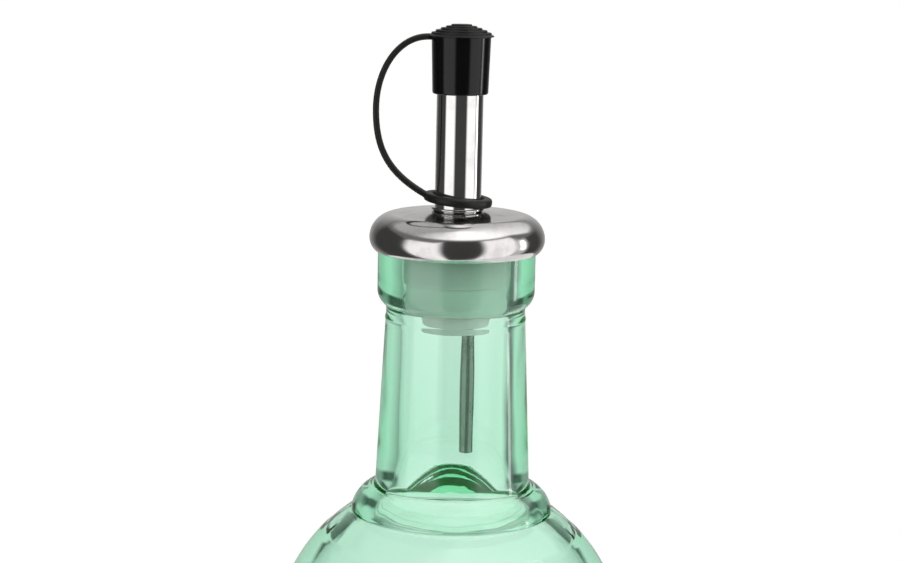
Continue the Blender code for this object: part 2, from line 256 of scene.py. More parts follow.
def ring_points(mesh, radius, middle):
    """A closed ring of points on the floor."""
    turns = [math.tau * k / FLOOR_SIDES for k in range(FLOOR_SIDES)]
    places = [(middle[0] + radius * math.cos(t), middle[1] + radius * math.sin(t), 0) for t in turns]
    return [mesh.verts.new(place) for place in places]


def floor_part(name, inner_filled):
    """The patch round the bottle, or the wide sheet with a hole for the patch."""
    shell = bmesh.new()
    near = ring_points(shell, PATCH_RADIUS, PATCH_MIDDLE)
    if inner_filled:
        shell.faces.new(near)
    else:
        far = ring_points(shell, SHEET_RADIUS, (0, 0))
        for k in range(FLOOR_SIDES):
            after = (k + 1) % FLOOR_SIDES
            shell.faces.new((near[k], far[k], far[after], near[after]))
    bmesh.ops.recalc_face_normals(shell, faces=shell.faces)
    if shell.faces[:][0].normal.z < 0:
        bmesh.ops.reverse_faces(shell, faces=shell.faces)
    mesh = bpy.data.meshes.new(name)
    shell.to_mesh(mesh)
    shell.free()
    mesh.materials.append(paper)
    made = bpy.data.objects.new(name, mesh)
    bpy.context.scene.collection.objects.link(made)
    return made


patch = floor_part("paper_patch", True)
wide_sheet = floor_part("paper_sheet", False)
wide_sheet.visible_glossy = False
wide_sheet.visible_transmission = False
print("paper patch and sheet:", PATCH_RADIUS, SHEET_RADIUS)

# %% [markdown]
# ## A lathe in Geometry Nodes
# Every piece but the strap is round, so one rule makes them all: an outline is turned about the axis.
# The tree reads the outline from the mesh it is put on, a plain chain of points in the XZ plane. A grid
# supplies the points of the turned piece: its rows follow the outline and its columns go round. Each
# grid point looks up its outline point and is swung to its place. Screw or Spin would do it too, but
# this tree also lets the radius waver a little, as hand-polished moulds leave it in thick glass.

# %% The lathe tree
WELD_DISTANCE = 0.0005 * MM


def lathe_tree():
    """Turns an outline about the Z axis, with a slight waver of its radius."""
    tree = bpy.data.node_groups.new("lathe", "GeometryNodeTree")
    tree.interface.new_socket("Outline", in_out="INPUT", socket_type="NodeSocketGeometry")
    tree.interface.new_socket("Outline Points", in_out="INPUT", socket_type="NodeSocketInt")
    tree.interface.new_socket("Sides", in_out="INPUT", socket_type="NodeSocketInt")
    tree.interface.new_socket("Waver Scale", in_out="INPUT", socket_type="NodeSocketVector")
    tree.interface.new_socket("Material", in_out="INPUT", socket_type="NodeSocketMaterial")
    tree.interface.new_socket("Turned", in_out="OUTPUT", socket_type="NodeSocketGeometry")
    given = add_node(tree, "NodeGroupInput").outputs
    columns = add_node(tree, "ShaderNodeMath", {1: 1.0}, {0: given["Sides"]}, operation="ADD").outputs[0]
    grid = add_node(tree, "GeometryNodeMeshGrid",
                    links={"Vertices X": columns, "Vertices Y": given["Outline Points"]})
    index = add_node(tree, "GeometryNodeInputIndex").outputs[0]
    row = add_node(tree, "FunctionNodeIntegerMath", links={0: index, 1: given["Outline Points"]},
                   operation="MODULO")
    column = add_node(tree, "FunctionNodeIntegerMath", links={0: index, 1: given["Outline Points"]},
                      operation="DIVIDE_FLOOR")
    position = add_node(tree, "GeometryNodeInputPosition").outputs[0]
    looked_up = add_node(tree, "GeometryNodeSampleIndex", data_type="FLOAT_VECTOR", domain="POINT",
                         links={"Geometry": given["Outline"], "Value": position, "Index": row.outputs[0]})
    step = add_node(tree, "ShaderNodeMath", {0: math.tau}, {1: given["Sides"]}, operation="DIVIDE").outputs[0]
    turn = add_node(tree, "ShaderNodeMath", links={0: column.outputs[0], 1: step},
                    operation="MULTIPLY").outputs[0]
    swung = add_node(tree, "ShaderNodeVectorRotate", links={"Vector": looked_up.outputs[0], "Angle": turn},
                     rotation_type="Z_AXIS").outputs[0]
    waver = add_node(tree, "GeometryNodeInputNamedAttribute", {"Name": "waver"}, data_type="FLOAT").outputs[0]
    depth = add_node(tree, "GeometryNodeSampleIndex", data_type="FLOAT", domain="POINT",
                     links={"Geometry": given["Outline"], "Value": waver, "Index": row.outputs[0]}).outputs[0]
    spread = add_node(tree, "ShaderNodeVectorMath", links={0: swung, 1: given["Waver Scale"]},
                      operation="MULTIPLY").outputs[0]
    grain = add_node(tree, "ShaderNodeTexNoise", {"Scale": 1.0, "Detail": 1.0}, {"Vector": spread}).outputs[0]
    loss = add_node(tree, "ShaderNodeMath", links={0: grain, 1: depth}, operation="MULTIPLY").outputs[0]
    flat = add_node(tree, "ShaderNodeVectorMath", {1: (1, 1, 0)}, {0: swung}, operation="MULTIPLY").outputs[0]
    outward = add_node(tree, "ShaderNodeVectorMath", links={0: flat}, operation="NORMALIZE").outputs[0]
    inward = add_node(tree, "ShaderNodeMath", {1: -1.0}, {0: loss}, operation="MULTIPLY").outputs[0]
    shift = add_node(tree, "ShaderNodeVectorMath", links={0: outward, "Scale": inward},
                     operation="SCALE").outputs[0]
    placed = add_node(tree, "GeometryNodeSetPosition",
                      links={"Geometry": grid.outputs["Mesh"], "Position": swung, "Offset": shift}).outputs[0]
    closed = add_node(tree, "GeometryNodeMergeByDistance", {"Distance": WELD_DISTANCE},
                      {"Geometry": placed}).outputs[0]
    smooth = add_node(tree, "GeometryNodeSetShadeSmooth", links={"Geometry": closed}).outputs[0]
    real = add_node(tree, "GeometryNodeRealizeInstances", links={"Geometry": smooth}).outputs[0]
    dressed = add_node(tree, "GeometryNodeSetMaterial",
                       links={"Geometry": real, "Material": given["Material"]})
    add_node(tree, "NodeGroupOutput", links={0: dressed.outputs[0]})
    return tree


LATHE = lathe_tree()
print("lathe tree:", len(LATHE.nodes), "nodes")

# %% [markdown]
# A modifier's inputs are set by each socket's identifier before Blender first evaluates the object. The
# result is turned into a plain mesh and the modifier goes, so the mesh is exactly what is seen.
# The volume printed for each piece also proves that its faces look outwards: it would be negative if not.

# %% Running a tree
def run_tree(source, tree, settings, name):
    """The plain mesh object that a tree makes from a source object, which is then removed."""
    modifier = source.modifiers.new(tree.name, "NODES")
    modifier.node_group = tree
    for socket in tree.interface.items_tree:
        if socket.item_type == "SOCKET" and socket.in_out == "INPUT" and socket.name in settings:
            modifier[socket.identifier] = settings[socket.name]
    graph = bpy.context.evaluated_depsgraph_get()
    mesh = bpy.data.meshes.new_from_object(source.evaluated_get(graph))
    bpy.data.objects.remove(source, do_unlink=True)
    mesh.name = name
    made = bpy.data.objects.new(name, mesh)
    bpy.context.scene.collection.objects.link(made)
    return made


def face_outwards(piece):
    """Turns the faces of a closed piece outwards and prints its volume."""
    shell = bmesh.new()
    shell.from_mesh(piece.data)
    bmesh.ops.recalc_face_normals(shell, faces=shell.faces)
    if shell.calc_volume(signed=True) < 0:
        bmesh.ops.reverse_faces(shell, faces=shell.faces)
    open_edges = sum(1 for edge in shell.edges if not edge.is_manifold)
    volume = shell.calc_volume(signed=True) / MM**3 / 1000
    shell.to_mesh(piece.data)
    shell.free()
    print(f"{piece.name}: {len(piece.data.polygons)} faces, {volume:.2f} cm3, {open_edges} open edges")


def turn_on_lathe(name, outline, sides, material, wavers=None, waver_scale=(1, 1, 1)):
    """A turned piece from outline points (radius, height) in millimetres, with the depth of waver at each."""
    chain = bpy.data.meshes.new(name + "_outline")
    points = [(radius * MM, 0, height * MM) for radius, height in outline]
    chain.from_pydata(points, [(k, k + 1) for k in range(len(points) - 1)], [])
    depths = chain.attributes.new("waver", "FLOAT", "POINT")
    depths.data.foreach_set("value", [depth * MM for depth in wavers or [0.0] * len(points)])
    source = bpy.data.objects.new(name + "_outline", chain)
    bpy.context.scene.collection.objects.link(source)
    settings = {"Outline Points": len(points), "Sides": sides, "Material": material,
                "Waver Scale": waver_scale}
    made = run_tree(source, LATHE, settings, name)
    face_outwards(made)
    return made


def arc(centre_r, centre_z, radius, start, end, steps):
    """Outline points on an arc, its angles in degrees from the outward direction, both ends in."""
    turns = [math.radians(start + (end - start) * k / steps) for k in range(steps + 1)]
    return [(centre_r + radius * math.cos(t), centre_z + radius * math.sin(t)) for t in turns]


def straight(start, end, steps):
    """Outline points on a straight stretch, without its two ends."""
    return [
        (start[0] + (end[0] - start[0]) * k / steps, start[1] + (end[1] - start[1]) * k / steps)
        for k in range(1, steps)
    ]


print("lathe ready")

# %% [markdown]
# ## The glass
# The bottle is soda-lime glass blown in an iron mould, about 3.6 mm thick and pale green from the iron
# in its sand. That gives a hard, clear gloss, an IOR of 1.52, and a colour that deepens with the length
# of glass the light goes through. So the tint isn't painted on the surface: a Volume Absorption inside
# the closed wall takes red and blue away along each ray, and thick places turn dark green by themselves.
# A shadow ray would treat glass as a solid wall, so for such rays a Transparent shader stands in, and
# light reaches the stopper inside. The mould leaves faint flow lines, drawn here by a stretched noise
# that bends the surface by hundredths of a millimetre.

# %% Glass material
GLASS_TINT = (0.02, 0.83, 0.43)
TINT_DENSITY = 72.0


def new_material(name):
    """An empty material tree with its output node."""
    material = bpy.data.materials.new(name)
    material.use_nodes = True
    material.node_tree.nodes.clear()
    output = add_node(material.node_tree, "ShaderNodeOutputMaterial")
    return material, material.node_tree, output


def pale_green_glass():
    material, tree, output = new_material("soda_lime_glass")
    place = add_node(tree, "ShaderNodeTexCoord").outputs["Object"]
    # flow lines lie level, a few millimetres long and half a millimetre high
    stretch = add_node(tree, "ShaderNodeMapping", {"Scale": (60, 60, 900)}, {"Vector": place}).outputs[0]
    flow = add_node(tree, "ShaderNodeTexNoise", {"Scale": 1.0, "Detail": 2.0}, {"Vector": stretch}).outputs[0]
    ripple = add_node(tree, "ShaderNodeTexNoise", {"Scale": 70.0, "Detail": 1.0},
                      {"Vector": place}).outputs[0]
    height = add_node(tree, "ShaderNodeMath", {1: 0.06}, {0: flow, 2: ripple},
                      operation="MULTIPLY_ADD").outputs[0]
    bump = add_node(tree, "ShaderNodeBump", {"Strength": 0.35, "Distance": 0.12 * MM},
                    {"Height": height}).outputs[0]
    glass = add_node(
        tree, "ShaderNodeBsdfPrincipled",
        {"Base Color": (1, 1, 1, 1), "IOR": 1.52, "Transmission Weight": 1.0, "Roughness": 0.012},
        {"Normal": bump},
    )
    clear = add_node(tree, "ShaderNodeBsdfTransparent", {"Color": (0.99, 0.99, 0.99, 1)})
    path = add_node(tree, "ShaderNodeLightPath").outputs["Is Shadow Ray"]
    both = add_node(tree, "ShaderNodeMixShader", links={0: path, 1: glass.outputs[0], 2: clear.outputs[0]})
    tint = add_node(tree, "ShaderNodeVolumeAbsorption", {"Color": (*GLASS_TINT, 1), "Density": TINT_DENSITY})
    tree.links.new(both.outputs[0], output.inputs["Surface"])
    tree.links.new(tint.outputs[0], output.inputs["Volume"])
    return material


GREEN_GLASS = pale_green_glass()
print("glass takes away per metre:", [round(TINT_DENSITY * (1 - part), 1) for part in GLASS_TINT])

# %% [markdown]
# The outline of the glass is one line: from the middle of the pushed-up base, round the heel, up the
# body, over the round shoulder, the bead at the neck's foot, the tapered neck and the heavy lip, and back
# down the inside. The wall's thickness is what bends light into the dark bands at both sides of the neck,
# so the inside is drawn with the same care as the outside. A fine raised line goes round the neck just
# under the lip, where two parts of the mould met.

# %% Outline of the glass
BODY_RADIUS = 39.5
GROOVE_Z = 136.0
SHOULDER_Z = GROOVE_Z - 32.4
WALL = 3.6
HEEL_ROUND = 9.0
INNER_HEEL_ROUND = 8.0
BASE_THICKNESS = 6.0
FLOOR_RISE = 1.0
FOOT_INNER_RADIUS = 23.0
PUNT_HEIGHT = 3.0
BEAD_RADIUS = 22.5
BEAD_ROUND = 6.8
BEAD_Z = GROOVE_Z - 0.8
NECK_FOOT = (16.97, 142.6)
NECK_TOP = (15.15, 181.0)
LIP_RADIUS = 17.1
LIP_BOTTOM_Z = 181.3
LIP_ROUND = 4.0
LIP_TOP_Z = 198.6
LIP_EDGE_ROUND = 1.2
BORE_TOP_RADIUS = 11.8
BORE_FOOT_RADIUS = 12.0
FLARE_ROUND = 20.5
MOULD_LINE_Z = 179.2
BEAD_GROOVE = (21.95, 136.3)
BEAD_TURNS = (14, 75)
LIP_UNDER_TURN = 58


def neck_side():
    """The straight side of the neck with the fine raised line near its top."""
    side = [NECK_FOOT] + straight(NECK_FOOT, NECK_TOP, 24) + [NECK_TOP]
    slope = (NECK_TOP[0] - NECK_FOOT[0]) / (NECK_TOP[1] - NECK_FOOT[1])
    line = []
    for rise, height in ((-0.45, 0.0), (-0.2, 0.1), (0.0, 0.14), (0.2, 0.1), (0.45, 0.0)):
        z = MOULD_LINE_Z + rise
        line.append((NECK_FOOT[0] + slope * (z - NECK_FOOT[1]) + height, z))
    below = [point for point in side if point[1] < MOULD_LINE_Z - 0.5]
    above = [point for point in side if point[1] > MOULD_LINE_Z + 0.5]
    return below + line + above


def glass_outline():
    inner_radius = BODY_RADIUS - WALL
    foot_radius = BODY_RADIUS - HEEL_ROUND
    punt_radius = (FOOT_INNER_RADIUS**2 + PUNT_HEIGHT**2) / (2 * PUNT_HEIGHT)
    punt_turn = math.degrees(math.asin(FOOT_INNER_RADIUS / punt_radius))
    line = arc(0, PUNT_HEIGHT - punt_radius, punt_radius, 90, 90 - punt_turn, 12)
    line[0] = (0, PUNT_HEIGHT)
    line += straight(line[-1], (foot_radius, 0), 3)
    line += arc(foot_radius, HEEL_ROUND, HEEL_ROUND, -90, 0, 16)
    line += straight(line[-1], (BODY_RADIUS, SHOULDER_Z), 24)
    line += arc(0, SHOULDER_Z, BODY_RADIUS, 0, math.degrees(math.acos(BEAD_RADIUS / BODY_RADIUS)), 60)
    line += [BEAD_GROOVE]
    line += arc(BEAD_RADIUS - BEAD_ROUND, BEAD_Z, BEAD_ROUND, *BEAD_TURNS, 20)
    line += neck_side()
    line += arc(LIP_RADIUS - LIP_ROUND, LIP_BOTTOM_Z + LIP_ROUND, LIP_ROUND, -LIP_UNDER_TURN, 0, 14)
    line += straight(line[-1], (LIP_RADIUS, LIP_TOP_Z - LIP_EDGE_ROUND), 6)
    line += arc(LIP_RADIUS - LIP_EDGE_ROUND, LIP_TOP_Z - LIP_EDGE_ROUND, LIP_EDGE_ROUND, 0, 90, 8)
    line += arc(BORE_TOP_RADIUS + LIP_EDGE_ROUND, LIP_TOP_Z - LIP_EDGE_ROUND, LIP_EDGE_ROUND, 90, 180, 8)
    flare_r = BORE_FOOT_RADIUS + FLARE_ROUND
    flare_z = SHOULDER_Z + math.sqrt((inner_radius + FLARE_ROUND) ** 2 - flare_r**2)
    meet = math.degrees(math.atan2(flare_z - SHOULDER_Z, flare_r))
    line += straight(line[-1], (BORE_FOOT_RADIUS, flare_z), 30)
    line += arc(flare_r, flare_z, FLARE_ROUND, 180, 180 + meet, 34)
    line += arc(0, SHOULDER_Z, inner_radius, meet, 0, 44)[1:]
    heel_z = BASE_THICKNESS + INNER_HEEL_ROUND
    line += straight(line[-1], (inner_radius, heel_z), 20)
    line += arc(inner_radius - INNER_HEEL_ROUND, heel_z, INNER_HEEL_ROUND, 0, -90, 14)
    line += straight(line[-1], (0, BASE_THICKNESS + FLOOR_RISE), 8) + [(0, BASE_THICKNESS + FLOOR_RISE)]
    return line


GLASS_SIDES = 256
OUTSIDE_WAVER = 0.03
INSIDE_WAVER = 0.4
FLARE_TOP_Z = 152.0
WAVER_SCALE = (120, 120, 30)
BEAD_WAVER = 0.5
BEAD_HEIGHTS = (131.0, 141.5)
WAVER_FADE = 8
WAVER_FOOT_Z = 12
WAVER_BELOW_LIP = 12
LIP_TOP_POINTS = 6


def glass_wavers(outline):
    """The depth of waver at each outline point: most at the bead and on the inside of the neck."""
    top = max(range(len(outline)), key=lambda k: outline[k][1])
    found = []
    for k, (radius, height) in enumerate(outline):
        inside = k > top + LIP_TOP_POINTS and FLARE_TOP_Z < height < LIP_TOP_Z - WAVER_BELOW_LIP
        depth = INSIDE_WAVER * min(1.0, (height - FLARE_TOP_Z) / WAVER_FADE) if inside else OUTSIDE_WAVER
        if k < top and BEAD_HEIGHTS[0] < height < BEAD_HEIGHTS[1]:
            depth = BEAD_WAVER
        found.append(depth * min(1.0, radius / WAVER_FADE) if height > WAVER_FOOT_Z else 0.0)
    return found


outline = glass_outline()
glass = turn_on_lathe("glass_bottle", outline, GLASS_SIDES, GREEN_GLASS, glass_wavers(outline), WAVER_SCALE)

# %% [markdown]
# Short shallow flutes ring the shoulder a little below the bead. They repeat at an even angle, so a
# second tree presses them in: it works out each point's angle round the axis and its height on the round
# shoulder, and pushes the points near a flute's middle inwards.

# %% The flute tree
def flute_tree():
    """Presses short upright flutes into a round shoulder."""
    tree = bpy.data.node_groups.new("flutes", "GeometryNodeTree")
    tree.interface.new_socket("Glass", in_out="INPUT", socket_type="NodeSocketGeometry")
    for name in ("Count", "Depth", "Shoulder Height", "Least Radius", "Low Angle", "High Angle",
                 "Narrowness"):
        tree.interface.new_socket(name, in_out="INPUT", socket_type="NodeSocketFloat")
    tree.interface.new_socket("Material", in_out="INPUT", socket_type="NodeSocketMaterial")
    tree.interface.new_socket("Fluted", in_out="OUTPUT", socket_type="NodeSocketGeometry")
    given = add_node(tree, "NodeGroupInput").outputs

    def maths(operation, *terms):
        """A Math node on sockets or plain numbers."""
        values = {k: term for k, term in enumerate(terms) if isinstance(term, (int, float))}
        links = {k: term for k, term in enumerate(terms) if not isinstance(term, (int, float))}
        return add_node(tree, "ShaderNodeMath", values, links, operation=operation).outputs[0]

    def between(value, low, high):
        """A smooth step from 0 at low to 1 at high."""
        return add_node(tree, "ShaderNodeMapRange", links={"Value": value, "From Min": low, "From Max": high},
                        interpolation_type="SMOOTHSTEP").outputs["Result"]

    centre = add_node(tree, "ShaderNodeCombineXYZ", links={"Z": given["Shoulder Height"]}).outputs[0]
    position = add_node(tree, "GeometryNodeInputPosition").outputs[0]
    arm = add_node(tree, "ShaderNodeVectorMath", links={0: position, 1: centre},
                   operation="SUBTRACT").outputs[0]
    length = add_node(tree, "ShaderNodeVectorMath", links={0: arm}, operation="LENGTH").outputs["Value"]
    along = add_node(tree, "ShaderNodeSeparateXYZ", links={0: arm}).outputs
    tilt = maths("ARCSINE", maths("DIVIDE", along["Z"], length))
    turn = maths("ARCTAN2", along["Y"], along["X"])
    wave = maths("COSINE", maths("MULTIPLY", turn, given["Count"]))
    ridge = maths("POWER", maths("MAXIMUM", wave, 0.0), given["Narrowness"])
    fade = maths("MULTIPLY", maths("SUBTRACT", given["High Angle"], given["Low Angle"]), 0.4)
    from_low = between(tilt, given["Low Angle"], maths("ADD", given["Low Angle"], fade))
    from_high = between(tilt, given["High Angle"], maths("SUBTRACT", given["High Angle"], fade))
    outside = maths("GREATER_THAN", length, given["Least Radius"])
    press = maths("MULTIPLY", maths("MULTIPLY", from_low, from_high), maths("MULTIPLY", ridge, outside))
    depth = maths("MULTIPLY", maths("MULTIPLY", press, given["Depth"]), -1.0)
    out = add_node(tree, "ShaderNodeVectorMath", links={0: arm}, operation="NORMALIZE").outputs[0]
    offset = add_node(tree, "ShaderNodeVectorMath", links={0: out, "Scale": depth},
                      operation="SCALE").outputs[0]
    pressed = add_node(tree, "GeometryNodeSetPosition",
                       links={"Geometry": given["Glass"], "Offset": offset}).outputs[0]
    real = add_node(tree, "GeometryNodeRealizeInstances", links={"Geometry": pressed}).outputs[0]
    dressed = add_node(tree, "GeometryNodeSetMaterial",
                       links={"Geometry": real, "Material": given["Material"]})
    add_node(tree, "NodeGroupOutput", links={0: dressed.outputs[0]})
    return tree


flutes = {
    "Count": 26.0, "Depth": 0.08 * MM, "Narrowness": 12.0,
    "Shoulder Height": SHOULDER_Z * MM, "Least Radius": (BODY_RADIUS - 1.5) * MM,
    "Low Angle": math.radians(44), "High Angle": math.radians(50), "Material": GREEN_GLASS,
}
glass = run_tree(glass, flute_tree(), flutes, "glass_bottle")
face_outwards(glass)
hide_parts("bottle")
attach(glass, "root")

# %% [markdown]
# ## The stopper
# The pourer grips the bottle's mouth with a plug of soft translucent plastic, a moulded polyethylene. It
# scatters light inside itself, so it looks milky grey-green behind the glass and has no sharp highlight.
# A light subsurface share gives that, and a fine noise gives the slight haze of a mould with no polish.
# The plug's upper part, under the collar, is painted a darker colour: painted shade.

# %% Stopper
COLLAR_RADIUS = 19.0
COLLAR_WIDEST_Z = 196.65
COLLAR_TOP_ROUND = 5.2
COLLAR_UNDER_ROUND = 3.7
COLLAR_UNDER_TURN = 48.0
COLLAR_SHEET = 0.5
COLLAR_CROWN = 0.75
COLLAR_CROWN_POWER = 1.2
COLLAR_HOLE_RADIUS = 5.3
COLLAR_EDGE_RADIUS = COLLAR_RADIUS - COLLAR_TOP_ROUND
GAP = 0.3
PLUG_RADIUS = BORE_TOP_RADIUS - GAP
PLUG_Z = 187.2
SLEEVE_RADIUS = 10.9
SLEEVE_Z = 181.6
SLEEVE_ROUND = 0.8
STEM_RADIUS = 7.3
STEM_END_Z = 176.6
STOPPER_BORE = 5.3
# above these heights the plug is painted darker: painted shade under the collar
SHADE_HEIGHTS = (186.6, 187.4)


def milky_plastic():
    material, tree, output = new_material("moulded_polyethylene")
    place = add_node(tree, "ShaderNodeTexCoord").outputs["Object"]
    haze = add_node(tree, "ShaderNodeTexNoise", {"Scale": 260.0, "Detail": 3.0}, {"Vector": place}).outputs[0]
    height = add_node(tree, "ShaderNodeSeparateXYZ", links={0: place}).outputs["Z"]
    # painted shade: from the top of the sleeve up, the plug is painted darker, for the shade under the collar
    shaded_upper = add_node(tree, "ShaderNodeMapRange",
                     {"From Min": SHADE_HEIGHTS[0] * MM, "From Max": SHADE_HEIGHTS[1] * MM},
                     {"Value": height}).outputs["Result"]
    shaded_tone = add_node(tree, "ShaderNodeMix", {6: (*linear("#fff2f4"), 1), 7: (*linear("#f4e0e4"), 1)},
                    {0: shaded_upper},
                    data_type="RGBA").outputs[2]
    colour = add_node(tree, "ShaderNodeMix", {7: (*linear("#eadde0"), 1)}, {0: haze, 6: shaded_tone},
                      data_type="RGBA").outputs[2]
    rough = add_node(tree, "ShaderNodeMapRange", {"To Min": 0.32, "To Max": 0.48},
                     {"Value": haze}).outputs["Result"]
    bump = add_node(tree, "ShaderNodeBump", {"Strength": 0.2, "Distance": 0.05 * MM},
                    {"Height": haze}).outputs[0]
    shader = add_node(
        tree, "ShaderNodeBsdfPrincipled",
        {"IOR": 1.51, "Subsurface Weight": 0.35, "Subsurface Radius": (1, 1, 1),
         "Subsurface Scale": 1.5 * MM},
        {"Base Color": colour, "Roughness": rough, "Normal": bump},
    )
    tree.links.new(shader.outputs[0], output.inputs["Surface"])
    return material


def crown_rise(radius):
    """How far the collar's top stands above its rounded edge at a radius."""
    share = (COLLAR_EDGE_RADIUS - radius) / (COLLAR_EDGE_RADIUS - COLLAR_HOLE_RADIUS)
    return COLLAR_CROWN * share**COLLAR_CROWN_POWER


def stopper_outline():
    flange_round = COLLAR_TOP_ROUND - COLLAR_SHEET - GAP
    flange_bottom = LIP_TOP_Z + GAP
    flange_turn = math.degrees(math.asin((flange_bottom - COLLAR_WIDEST_Z) / flange_round))
    line = [(STOPPER_BORE, STEM_END_Z)] + arc(STEM_RADIUS - 0.45, STEM_END_Z + 0.45, 0.45, -90, 0, 4)
    line += [(STEM_RADIUS, SLEEVE_Z)]
    line += arc(SLEEVE_RADIUS - SLEEVE_ROUND, SLEEVE_Z + SLEEVE_ROUND, SLEEVE_ROUND, -90, 0, 6)
    line += [(SLEEVE_RADIUS, PLUG_Z)]
    line += arc(SLEEVE_RADIUS, PLUG_Z + PLUG_RADIUS - SLEEVE_RADIUS, PLUG_RADIUS - SLEEVE_RADIUS,
                -90, 0, 6)[1:]
    line += [(PLUG_RADIUS, flange_bottom)]
    line += arc(COLLAR_EDGE_RADIUS, COLLAR_WIDEST_Z, flange_round, flange_turn, 90, 12)
    top = COLLAR_WIDEST_Z + flange_round
    line += [(radius, top + crown_rise(radius)) for radius in (11.5, 9.5, 7.5, STOPPER_BORE)]
    return line + [(STOPPER_BORE, STEM_END_Z)]


stopper = turn_on_lathe("plastic_stopper", stopper_outline(), 128, milky_plastic())
stopper.data.set_sharp_from_angle(angle=math.radians(40))
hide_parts("stopper")
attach(stopper, "root")

# %% [markdown]
# ## The collar
# A dome of thin stainless sheet covers the stopper's flange. It is pressed and then buffed while it
# spins, which leaves the finest rings round it: a soft satin mirror. Steel needs no base tint beyond a
# neutral grey and a roughness near 0.15. Handling leaves faint smudges, which are a low noise in the
# roughness, and the rings are a noise that is stretched round the axis by reading only radius and height.

# %% Collar
def buffed_steel(name, smooth, dull, light_grey, dark_grey, ring_scale, ring_strength):
    """Stainless steel with buffing rings round the Z axis and faint smudges."""
    material, tree, output = new_material(name)
    place = add_node(tree, "ShaderNodeTexCoord").outputs["Object"]
    split = add_node(tree, "ShaderNodeSeparateXYZ", links={0: place}).outputs
    flat = add_node(tree, "ShaderNodeCombineXYZ", links={"X": split["X"], "Y": split["Y"]}).outputs[0]
    radius = add_node(tree, "ShaderNodeVectorMath", links={0: flat}, operation="LENGTH").outputs["Value"]
    around = add_node(tree, "ShaderNodeCombineXYZ", links={"X": radius, "Z": split["Z"]}).outputs[0]
    rings = add_node(tree, "ShaderNodeTexNoise", {"Scale": ring_scale, "Detail": 2.0},
                     {"Vector": around}).outputs[0]
    smudge = add_node(tree, "ShaderNodeTexNoise", {"Scale": 210.0, "Detail": 4.0, "Roughness": 0.6},
                      {"Vector": place}).outputs[0]
    patch = add_node(tree, "ShaderNodeMapRange", {"From Min": 0.45, "From Max": 0.7}, {"Value": smudge},
                     interpolation_type="SMOOTHSTEP").outputs["Result"]
    rough = add_node(tree, "ShaderNodeMapRange", {"To Min": smooth, "To Max": dull},
                     {"Value": patch}).outputs["Result"]
    colour = add_node(
        tree, "ShaderNodeMix", {6: (*linear(light_grey), 1), 7: (*linear(dark_grey), 1)}, {0: patch},
        data_type="RGBA",
    ).outputs[2]
    bump = add_node(tree, "ShaderNodeBump", {"Strength": ring_strength, "Distance": 0.02 * MM},
                    {"Height": rings}).outputs[0]
    shader = add_node(tree, "ShaderNodeBsdfPrincipled", {"Metallic": 1.0},
                      {"Base Color": colour, "Roughness": rough, "Normal": bump})
    tree.links.new(shader.outputs[0], output.inputs["Surface"])
    return material


def collar_outline():
    under_r = COLLAR_RADIUS - COLLAR_UNDER_ROUND
    edge_top = COLLAR_WIDEST_Z + COLLAR_TOP_ROUND
    radii = [COLLAR_HOLE_RADIUS + (COLLAR_EDGE_RADIUS - COLLAR_HOLE_RADIUS) * k / 12 for k in range(12)]
    outside = [(radius, edge_top + crown_rise(radius)) for radius in radii]
    outside += arc(COLLAR_EDGE_RADIUS, COLLAR_WIDEST_Z, COLLAR_TOP_ROUND, 90, 0, 28)
    outside += arc(under_r, COLLAR_WIDEST_Z, COLLAR_UNDER_ROUND, 0, -COLLAR_UNDER_TURN, 14)[1:]
    mid = COLLAR_UNDER_ROUND - COLLAR_SHEET / 2
    turn = math.radians(-COLLAR_UNDER_TURN)
    edge = (under_r + mid * math.cos(turn), COLLAR_WIDEST_Z + mid * math.sin(turn))
    outside += arc(*edge, COLLAR_SHEET / 2, -COLLAR_UNDER_TURN, -COLLAR_UNDER_TURN - 180, 6)[1:-1]
    inside = arc(under_r, COLLAR_WIDEST_Z, COLLAR_UNDER_ROUND - COLLAR_SHEET, -COLLAR_UNDER_TURN, 0, 10)
    inside += arc(COLLAR_EDGE_RADIUS, COLLAR_WIDEST_Z, COLLAR_TOP_ROUND - COLLAR_SHEET, 0, 90, 20)[1:]
    inside += [(radius, edge_top - COLLAR_SHEET + crown_rise(radius)) for radius in reversed(radii)]
    return outside + inside + outside[:1]


COLLAR_STEEL = buffed_steel("buffed_stainless_steel", 0.12, 0.2, "#d3d0cf", "#c4c1c1", 9000.0, 0.12)
collar = turn_on_lathe("steel_collar", collar_outline(), 192, COLLAR_STEEL)
collar.data.set_sharp_from_angle(angle=math.radians(45))
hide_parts("collar")
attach(collar, "root")

# %% [markdown]
# ## The spout and the vent
# Both tubes are drawn stainless steel. The spout is polished brighter than the collar, and its rolled bead
# stands on the collar. The vent is a thin tube inside it that lets air into the bottle as the oil runs out.
# The vent's steel is rougher and painted a darker grey: a painted dark reflection, for the dark it mirrors.

# %% Tubes
SPOUT_RADIUS = 5.0
TUBE_WALL = 0.3
SPOUT_TOP_Z = 238.4
SPOUT_END_Z = 179.0
SPOUT_BEAD_RADIUS = 5.75
SPOUT_BEAD_Z = 203.1
SPOUT_BEAD_ROUND = 0.28
VENT_RADIUS = 1.5
VENT_X = 2.9
VENT_END_Z = 149.1
VENT_TOP_Z = 196.0


def spout_outline():
    inner = SPOUT_RADIUS - TUBE_WALL
    line = [(inner, SPOUT_END_Z), (SPOUT_RADIUS, SPOUT_END_Z),
            (SPOUT_RADIUS, SPOUT_BEAD_Z - SPOUT_BEAD_ROUND)]
    line += arc(SPOUT_BEAD_RADIUS - SPOUT_BEAD_ROUND, SPOUT_BEAD_Z, SPOUT_BEAD_ROUND, -90, 90, 12)
    line += [(SPOUT_RADIUS, SPOUT_BEAD_Z + SPOUT_BEAD_ROUND), (SPOUT_RADIUS, SPOUT_TOP_Z),
             (inner, SPOUT_TOP_Z)]
    return line + line[:1]


